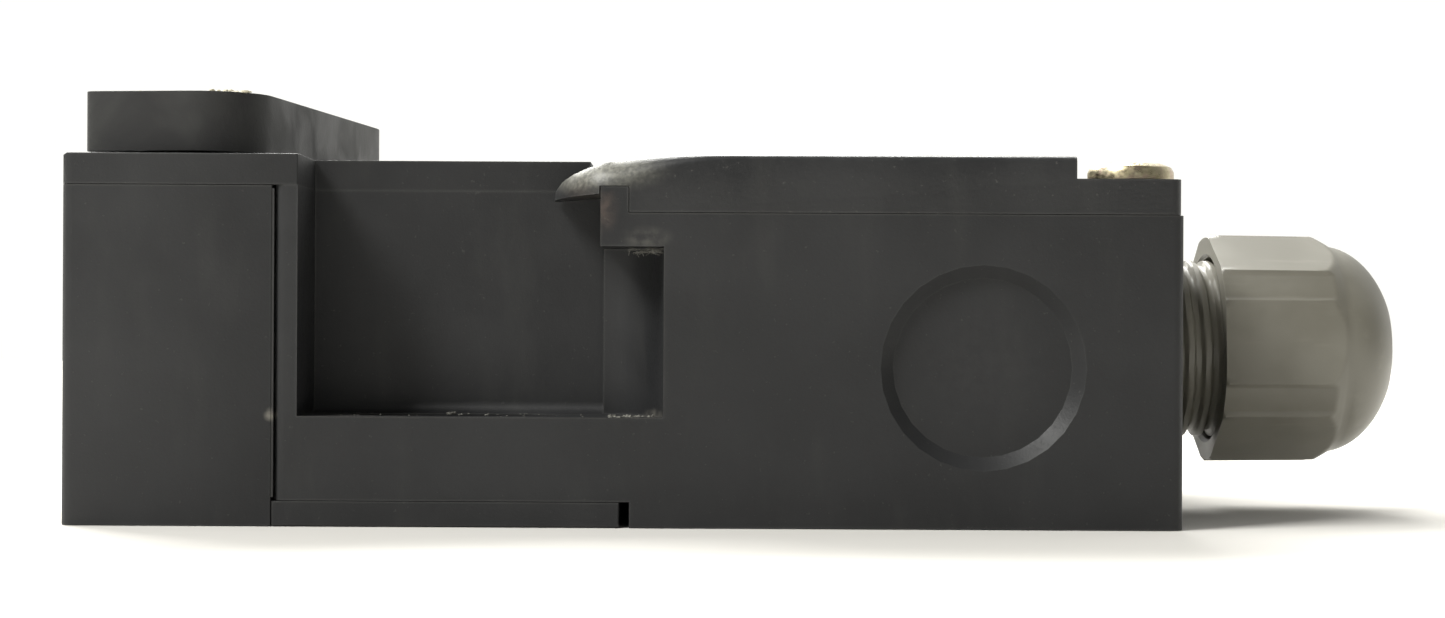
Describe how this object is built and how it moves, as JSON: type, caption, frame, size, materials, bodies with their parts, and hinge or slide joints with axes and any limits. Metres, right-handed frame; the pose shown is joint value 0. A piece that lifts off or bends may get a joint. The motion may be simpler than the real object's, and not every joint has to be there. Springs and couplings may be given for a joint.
{
  "type": "limit switch",
  "caption": "Flat key-operated limit switch: black plastic body with a removable key at its head, a screwed terminal lid and a grey cable gland.",
  "frame": {"origin": "on the mounting face, midway between the two mounting slots", "axes": "+X along the body from the head to the cable gland, +Y across the body, +Z out of the mounting face towards the lid"},
  "size_m": [0.1124, 0.052, 0.0354],
  "materials": {
    "body_plastic": "moulded black glass-filled plastic with a fine eroded texture, slightly dusty",
    "lid_plastic": "moulded black glass-filled plastic with a fine eroded texture, scuffed edges",
    "rubber": "black rubber, smudged",
    "gland_plastic": "warm grey nylon with a soft sheen",
    "insulator": "cream moulded plastic",
    "cam_plastic": "red low-friction plastic",
    "steel": "plain steel",
    "spring_steel": "drawn spring wire",
    "brass": "stamped brass strip",
    "passivated_steel": "yellow-passivated zinc on steel"
  },
  "bodies": {
    "body": {"housing": "body_plastic", "bottom_plate": "body_plastic", "head_block": "body_plastic", "head_cover": "body_plastic", "cover_screw_1": "steel", "cover_screw_2": "steel", "cover_screw_3": "steel", "cover_screw_4": "steel", "drum_axle": "steel", "plunger_seal": "rubber", "return_spring": "spring_steel", "contact_block": "insulator", "fixed_contact_nc_front": "brass", "fixed_contact_nc_rear": "brass", "fixed_contact_no_front": "brass", "fixed_contact_no_rear": "brass", "terminal_clamp_nc_front": "passivated_steel", "terminal_clamp_nc_rear": "passivated_steel", "terminal_clamp_no_front": "passivated_steel", "terminal_clamp_no_rear": "passivated_steel", "gland_body": "gland_plastic", "gland_locknut": "gland_plastic", "gland_ring": "rubber", "gland_seal": "rubber"},
    "key": {"key_base": "rubber", "key_tongue": "steel", "key_sleeve_front": "steel", "key_sleeve_rear": "steel"},
    "drum": {"cam_drum": "cam_plastic"},
    "pusher": {"plunger": "steel"},
    "carrier": {"contact_carrier": "insulator", "contact_bridge_nc": "brass", "contact_bridge_no": "brass", "contact_spring_nc": "spring_steel", "contact_spring_no": "spring_steel"},
    "lid": {"terminal_lid": "lid_plastic", "lid_gasket": "rubber"},
    "lid_screw_a": {"lid_screw_front": "passivated_steel"},
    "lid_screw_b": {"lid_screw_rear": "passivated_steel"},
    "terminal_screw_1": {"terminal_screw_nc_front": "passivated_steel"},
    "terminal_screw_2": {"terminal_screw_nc_rear": "passivated_steel"},
    "terminal_screw_3": {"terminal_screw_no_front": "passivated_steel"},
    "terminal_screw_4": {"terminal_screw_no_rear": "passivated_steel"},
    "nut": {"gland_nut": "gland_plastic"}
  },
  "joints": [
    {"name": "key_pull", "type": "slide", "parent": "body", "child": "key", "axis": [0, 0, 1], "range_m": [0, 0.0265]},
    {"name": "drum_turn", "type": "hinge", "parent": "body", "child": "drum", "pos_m": [-0.0172, 0, 0.0142], "axis": [0, 1, 0], "range_deg": [0, 75]},
    {"name": "plunger_push", "type": "slide", "parent": "body", "child": "pusher", "axis": [1, 0, 0], "range_m": [0, 0.002]},
    {"name": "carrier_push", "type": "slide", "parent": "body", "child": "carrier", "axis": [1, 0, 0], "range_m": [0, 0.002], "deforming": ["return_spring"]},
    {"name": "lid_lift", "type": "slide", "parent": "body", "child": "lid", "axis": [0, 0, 1], "range_m": [0, 0.04]},
    {"name": "lid_screw_front_turn", "type": "hinge", "parent": "lid", "child": "lid_screw_a", "pos_m": [0.0553, -0.021, 0.0282], "axis": [0, 0, 1], "continuous": true},
    {"name": "lid_screw_rear_turn", "type": "hinge", "parent": "lid", "child": "lid_screw_b", "pos_m": [0.0553, 0.021, 0.0282], "axis": [0, 0, 1], "continuous": true},
    {"name": "terminal_screw_1_turn", "type": "hinge", "parent": "body", "child": "terminal_screw_1", "pos_m": [0.0251, -0.0165, 0.0141], "axis": [0, 0, 1], "continuous": true},
    {"name": "terminal_screw_2_turn", "type": "hinge", "parent": "body", "child": "terminal_screw_2", "pos_m": [0.0251, 0.0165, 0.0141], "axis": [0, 0, 1], "continuous": true},
    {"name": "terminal_screw_3_turn", "type": "hinge", "parent": "body", "child": "terminal_screw_3", "pos_m": [0.0251, -0.0055, 0.0141], "axis": [0, 0, 1], "continuous": true},
    {"name": "terminal_screw_4_turn", "type": "hinge", "parent": "body", "child": "terminal_screw_4", "pos_m": [0.0251, 0.0055, 0.0141], "axis": [0, 0, 1], "continuous": true},
    {"name": "gland_nut_turn", "type": "hinge", "parent": "body", "child": "nut", "pos_m": [0.0657, 0, 0.0143], "axis": [1, 0, 0], "continuous": true}
  ],
  "couplings": [
    {"joint": "drum_turn", "follows": "key_pull", "rad_per_m": 49.396},
    {"joint": "plunger_push", "follows": "key_pull", "ratio": 0.075472},
    {"joint": "carrier_push", "follows": "key_pull", "ratio": 0.075472}
  ]
}
